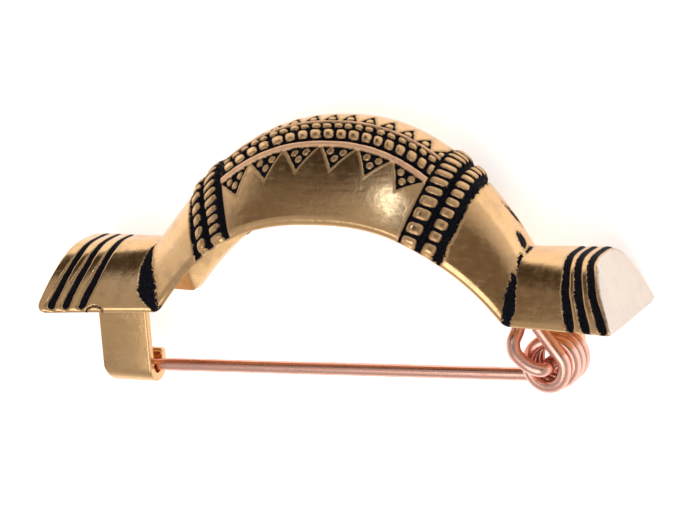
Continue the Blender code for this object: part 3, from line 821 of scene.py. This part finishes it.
def lug():
    """The plate behind the coil that holds the axle, with a bevelled eye."""
    height = LUG_TOP_Z - COIL_CENTRE[2]
    corner = math.atan2(height, LUG_HALF_WIDTH)
    angle = np.sort(np.r_[np.linspace(-math.pi, math.pi, 72, endpoint=False),
                          corner, math.pi - corner])
    way = np.stack([np.cos(angle), np.sin(angle)], 1)
    reach = np.full(len(angle), LUG_HALF_WIDTH)
    up = way[:, 1] > 0.0
    reach[up] = np.minimum(LUG_HALF_WIDTH / np.maximum(np.abs(way[up, 0]), 1e-9),
                           height / np.maximum(way[up, 1], 1e-9))
    front, back, bevel = LUG_FRONT_Y, LUG_FRONT_Y + LUG_THICKNESS, 0.18
    rings = []
    for y, size in ((front + bevel, LUG_HOLE_RADIUS), (front + 0.05, LUG_HOLE_RADIUS + 0.06),
                    (front, LUG_HOLE_RADIUS + bevel), (front, -bevel), (front + 0.05, -0.06),
                    (front + bevel, 0.0), (back - bevel, 0.0), (back - 0.05, -0.06),
                    (back, -bevel), (back, LUG_HOLE_RADIUS + bevel),
                    (back - 0.05, LUG_HOLE_RADIUS + 0.06), (back - bevel, LUG_HOLE_RADIUS)):
        radius = np.full(len(angle), size) if size > 0.5 else reach + size
        rings.append(np.stack([COIL_CENTRE[0] + way[:, 0] * radius, np.full(len(angle), y),
                               COIL_CENTRE[2] + way[:, 1] * radius], 1))
    points = np.array(rings)
    grid = np.arange(points.shape[0] * points.shape[1]).reshape(points.shape[:2])
    grid = np.concatenate([grid, grid[:1]], 0)
    grid = np.concatenate([grid, grid[:, :1]], 1)
    plain = np.zeros(points.shape[0] * points.shape[1])
    return new_mesh("lug_plate", points.reshape(-1, 3), quads(grid[:, ::-1]),
                    {"dark": plain + PLAIN, "rag": plain, "tint": plain, "back": plain + 0.35})


# ---------------------------------------------------------------- materials
class Nodes:
    """Short calls for building a node tree."""

    def __init__(self, tree):
        self.tree = tree

    def add(self, kind, inputs=(), **settings):
        node = self.tree.nodes.new(kind)
        for key, value in settings.items():
            setattr(node, key, value)
        for key, value in dict(inputs).items():
            self.put(value, node.inputs[key])
        return node

    def put(self, value, socket):
        if isinstance(value, bpy.types.NodeSocket):
            self.tree.links.new(value, socket)
        else:
            socket.default_value = value

    def attribute(self, name, output="Fac"):
        return self.add("ShaderNodeAttribute", attribute_name=name).outputs[output]

    def math(self, operation, one, two=0.0, clamp=False):
        node = self.add("ShaderNodeMath", {0: one, 1: two}, operation=operation)
        node.use_clamp = clamp
        return node.outputs[0]

    def scaled(self, vector, scale):
        return self.add("ShaderNodeMapping", {"Vector": vector, "Scale": scale}).outputs[0]

    def noise(self, vector, scale, detail=3.0, roughness=0.55):
        return self.add("ShaderNodeTexNoise", {"Vector": vector, "Scale": scale,
                                               "Detail": detail, "Roughness": roughness}
                        ).outputs["Fac"]

    def curve(self, value, low, high, start=0.0, end=1.0):
        return self.add("ShaderNodeMapRange", {"Value": value, "From Min": low, "From Max": high,
                                               "To Min": start, "To Max": end},
                        interpolation_type="SMOOTHSTEP").outputs[0]

    def blend(self, share, one, two):
        node = self.add("ShaderNodeMix", data_type="RGBA")
        for value, socket in ((share, node.inputs[0]), (one, node.inputs[6]),
                              (two, node.inputs[7])):
            self.put(value, socket)
        return node.outputs[2]

    def bump(self, height, distance, normal=None):
        node = self.add("ShaderNodeBump", {"Height": height, "Distance": distance,
                                           "Strength": 1.0})
        if normal is not None:
            self.put(normal, node.inputs["Normal"])
        return node.outputs[0]


def new_material(name):
    """A material, the calls that build its tree, and its shader's sockets."""
    material = bpy.data.materials.new(name)
    material.use_nodes = True
    tree = material.node_tree
    return material, Nodes(tree), tree.nodes["Principled BSDF"].inputs


def bronze_material():
    """Polished cast bronze with black patina left in its hollows, painted shade beside them and a
    painted reflection on the end facets.
    """
    material, n, shader = new_material("bronze")
    place = n.add("ShaderNodeTexCoord").outputs["Object"]
    mm = n.scaled(place, (1000.0, 1000.0, 1000.0))
    back, tint, painted_end_glare = n.attribute("back"), n.attribute("tint"), n.attribute("painted_end_glare")
    broad = n.noise(mm, 0.22, 2.0)
    fine = n.noise(mm, 1.3, 4.0, 0.6)
    grain = n.noise(mm, 6.0, 3.0)
    brushed = n.noise(n.scaled(place, (220.0, 2600.0, 2600.0)), 1.0, 2.0)
    crossed = n.noise(n.scaled(place, (2600.0, 400.0, 900.0)), 1.0, 2.0)
    edge_noise = n.noise(mm, 3.2, 3.0, 0.6)
    # black patina: where the carried distance, frayed by noise, is over zero
    fray = n.math("MULTIPLY", n.math("SUBTRACT", edge_noise, 0.5), n.math(
        "MULTIPLY", n.math("ADD", n.attribute("rag"), 0.02), 4.0))
    depth = n.math("ADD", n.attribute("dark"), fray)
    patina = n.curve(depth, -0.035, 0.035)
    # painted shade: a thin dark rim round the patina and a wider, frayed brown band beside it
    # darken the metal next to the hollows
    painted_rim_shade = n.curve(depth, -0.16, 0.0)
    shade = n.curve(n.math("ADD", depth, n.math("MULTIPLY", edge_noise, 0.24)), -0.30, 0.10)
    shade = n.math("SUBTRACT", shade, tint, clamp=True)
    tarnish = n.curve(n.noise(mm, 0.42, 5.0, 0.68), 0.48, 0.68)
    pits = n.curve(n.noise(mm, 2.1, 5.0, 0.62), 0.715, 0.745)
    # colour
    colour = n.blend(n.curve(broad, 0.3, 0.7), (0.80, 0.49, 0.235, 1), (0.84, 0.53, 0.265, 1))
    colour = n.blend(n.curve(fine, 0.45, 0.8, 0.0, 0.15), colour, (0.66, 0.40, 0.19, 1))
    for layer, share, stain in ((tint, 0.75, (0.98, 0.61, 0.40, 1)),
                                (tarnish, 0.38, (0.44, 0.28, 0.155, 1)),
                                # painted shade: the next two layers darken the metal beside the
                                # hollows
                                (shade, 0.34, (0.30, 0.19, 0.11, 1)),
                                (painted_rim_shade, 0.40, (0.36, 0.22, 0.11, 1)),
                                (pits, 0.55, (0.16, 0.10, 0.05, 1)),
                                (back, 0.25, (0.50, 0.33, 0.16, 1)),
                                # painted reflection: pale cream on the end facets
                                (painted_end_glare, 0.80, (0.82, 0.76, 0.71, 1))):
        colour = n.blend(n.math("MULTIPLY", layer, share), colour, stain)
    black = n.blend(n.curve(grain, 0.35, 0.75), (0.002, 0.002, 0.004, 1),
                    (0.016, 0.015, 0.022, 1))
    n.put(n.blend(patina, colour, black), shader["Base Color"])
    n.put(n.curve(patina, 0.0, 1.0, 1.0, 0.0), shader["Metallic"])
    shader["Specular IOR Level"].default_value = 0.06
    # polish
    rough = n.curve(fine, 0.25, 0.8, 0.14, 0.22)
    rough = n.math("ADD", rough, n.curve(brushed, 0.45, 0.8, 0.0, 0.06))
    for layer, amount in ((tarnish, 0.07), (shade, 0.08), (back, 0.12), (tint, 0.22),
                          (painted_end_glare, 0.25), (patina, 0.30), (n.attribute("worn"), 0.16)):
        rough = n.math("ADD", rough, n.math("MULTIPLY", layer, amount))
    n.put(rough, shader["Roughness"])
    normal = n.bump(broad, 0.00005)
    normal = n.bump(fine, 0.000012, normal)
    normal = n.bump(n.math("ADD", brushed, crossed), 0.0000045, normal)
    normal = n.bump(n.math("MULTIPLY", pits, -1.0), 0.00004, normal)
    normal = n.bump(n.math("MULTIPLY", grain, n.math("ADD", back, patina)), 0.00003, normal)
    n.put(normal, shader["Normal"])
    return material


def copper_material():
    """Drawn copper wire with lengthwise draw lines and a warm brown film."""
    material, n, shader = new_material("copper")
    wire = n.attribute("wire", "Vector")
    place = n.add("ShaderNodeTexCoord").outputs["Object"]
    mm = n.scaled(place, (1000.0, 1000.0, 1000.0))
    drawn = n.noise(n.scaled(wire, (0.16, 5.5, 5.5)), 1.0, 3.0)
    film = n.noise(mm, 0.55, 3.0, 0.6)
    fine = n.noise(mm, 4.5, 3.0)
    colour = n.blend(n.curve(film, 0.35, 0.7), (0.94, 0.55, 0.45, 1), (0.90, 0.47, 0.36, 1))
    colour = n.blend(n.curve(drawn, 0.5, 0.8, 0.0, 0.4), colour, (0.76, 0.37, 0.28, 1))
    n.put(colour, shader["Base Color"])
    shader["Metallic"].default_value = 1.0
    rough = n.math("ADD", n.curve(film, 0.3, 0.75, 0.20, 0.34),
                   n.curve(drawn, 0.45, 0.8, 0.0, 0.08))
    n.put(rough, shader["Roughness"])
    normal = n.bump(drawn, 0.000012)
    normal = n.bump(fine, 0.000008, normal)
    n.put(normal, shader["Normal"])
    return material


FLOOR_GLOW = 0.64


def floor_material():
    """A plain whitish sheet, faintly lit from below as on a photographer's light table."""
    material, n, shader = new_material("pale_floor")
    place = n.add("ShaderNodeTexCoord").outputs["Object"]
    tone = n.noise(n.scaled(place, (40.0, 40.0, 40.0)), 1.0, 2.0)
    n.put(n.blend(tone, (0.90, 0.90, 0.90, 1), (0.92, 0.92, 0.92, 1)),
          shader["Base Color"])
    shader["Roughness"].default_value = 0.9
    shader["Emission Color"].default_value = (1.0, 1.0, 1.0, 1.0)
    shader["Emission Strength"].default_value = FLOOR_GLOW
    return material


# ---------------------------------------------------------------- the brooch
SPLIT_INNER, SPLIT_OUTER = 0.4935, 0.700
bronze, copper = bronze_material(), copper_material()
casting = [
    shell("bow", -SPLIT_INNER, SPLIT_INNER, 0.11),
    shell("collar_left", -SPLIT_OUTER, -SPLIT_INNER, 0.085),
    shell("collar_right", SPLIT_INNER, SPLIT_OUTER, 0.085),
    shell("arm_left", -END, -SPLIT_OUTER, 0.13),
    shell("arm_right", SPLIT_OUTER, END, 0.13),
    catch(),
    lug(),
]
for piece in casting:
    piece.data.materials.append(bronze)
    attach(piece, "fibula")
    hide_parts("fibula_body")
axle_piece, pin_piece = axle(), pin_spring()
for piece, body, node in ((axle_piece, "fibula", "axle_wire"), (pin_piece, "pin", "pin_spring")):
    piece.data.materials.append(copper)
    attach(piece, body)
    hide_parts(node)

# ---------------------------------------------------------------- stage, light, camera
FLOOR_HALF = 0.6
floor_mesh = bpy.data.meshes.new("floor")
floor_mesh.from_pydata([(-FLOOR_HALF, -FLOOR_HALF, 0.0), (FLOOR_HALF, -FLOOR_HALF, 0.0),
                        (FLOOR_HALF, FLOOR_HALF, 0.0), (-FLOOR_HALF, FLOOR_HALF, 0.0)],
                       [], [(0, 1, 2, 3)])
floor = bpy.data.objects.new("floor", floor_mesh)
floor.data.materials.append(floor_material())
bpy.context.scene.collection.objects.link(floor)


LIGHT_DISTANCE = 0.5


def area_light(name, towards, size, energy):
    """A soft square light seen from the brooch in a direction of the model's frame."""
    data = bpy.data.lights.new(name, "AREA")
    data.size = size
    data.energy = energy
    light = bpy.data.objects.new(name, data)
    way = Vector(towards).normalized()
    light.location = way * LIGHT_DISTANCE
    light.rotation_euler = (-way).to_track_quat("-Z", "Y").to_euler()
    bpy.context.scene.collection.objects.link(light)
    return light


AZIMUTH, ELEVATION, ROLL = 0.432674, 0.225552, -0.072458
right = np.array([math.cos(AZIMUTH), math.sin(AZIMUTH), 0.0])
back = np.array([math.sin(AZIMUTH) * math.cos(ELEVATION),
                 -math.cos(AZIMUTH) * math.cos(ELEVATION), math.sin(ELEVATION)])
upward = np.cross(back, right)
right, upward = (math.cos(ROLL) * right + math.sin(ROLL) * upward,
                 math.cos(ROLL) * upward - math.sin(ROLL) * right)
DISTANCE, ASIDE, ABOVE = 261.5, 0.7819, 4.6702
AIM = np.array([0.85, -0.5, 0.0])
camera_data = bpy.data.cameras.new("camera")
camera_data.sensor_width = 36.0
camera_data.lens = 128.57
camera_data.clip_start = 0.01
camera = bpy.data.objects.new("camera", camera_data)
axes = [turned(way) for way in (right, upward, back)]
place = to_world(AIM + right * ASIDE + upward * ABOVE + back * DISTANCE)
camera.matrix_world = Matrix([[axes[0][k], axes[1][k], axes[2][k], place[k]]
                              for k in range(3)] + [[0.0, 0.0, 0.0, 1.0]])
bpy.context.scene.collection.objects.link(camera)
bpy.context.scene.camera = camera

LOW_SKY, HIGH_SKY = (0.82, 0.80, 0.78, 1), (0.46, 0.45, 0.44, 1)
# Darker patches of the room: direction, cosines where each starts and is full, colour
SKY_PATCHES = (((-0.39, 0.83, 0.39), 0.912, 0.960, (0.05, 0.04, 0.028, 1)),
               ((-0.65, 0.48, 0.59), 0.991, 0.997, (0.17, 0.14, 0.11, 1)),
               ((-0.58, 0.51, 0.63), 0.991, 0.997, (0.17, 0.14, 0.11, 1)),
               ((-0.49, 0.59, 0.63), 0.990, 0.997, (0.20, 0.17, 0.14, 1)),
               ((0.03, 0.61, 0.79), 0.982, 0.994, (0.08, 0.06, 0.04, 1)),
               ((0.52, 0.40, 0.75), 0.940, 0.975, (0.16, 0.13, 0.10, 1)))

world = bpy.data.worlds.new("studio")
bpy.context.scene.world = world
world.use_nodes = True
sky = Nodes(world.node_tree)
way = sky.add("ShaderNodeTexCoord").outputs["Generated"]
height = sky.add("ShaderNodeSeparateXYZ", {"Vector": way}).outputs["Z"]
level = sky.curve(height, 0.10, 0.55)
tone = sky.blend(level, LOW_SKY, HIGH_SKY)
for towards, start, end, colour in SKY_PATCHES:
    gone = sky.add("ShaderNodeVectorMath", {0: way, 1: Vector(towards).normalized()},
                   operation="DOT_PRODUCT").outputs["Value"]
    tone = sky.blend(sky.curve(gone, start, end), tone, colour)
sky.put(tone, world.node_tree.nodes["Background"].inputs["Color"])
strip = area_light("strip", (-0.10, 0.67, 0.735), 0.06, 0.040)
strip.data.color = (0.80, 1.0, 1.3)
area_light("overhead", (0.06, -0.20, 0.98), 0.40, 0.75)
bpy.context.scene.view_settings.view_transform = "Standard"
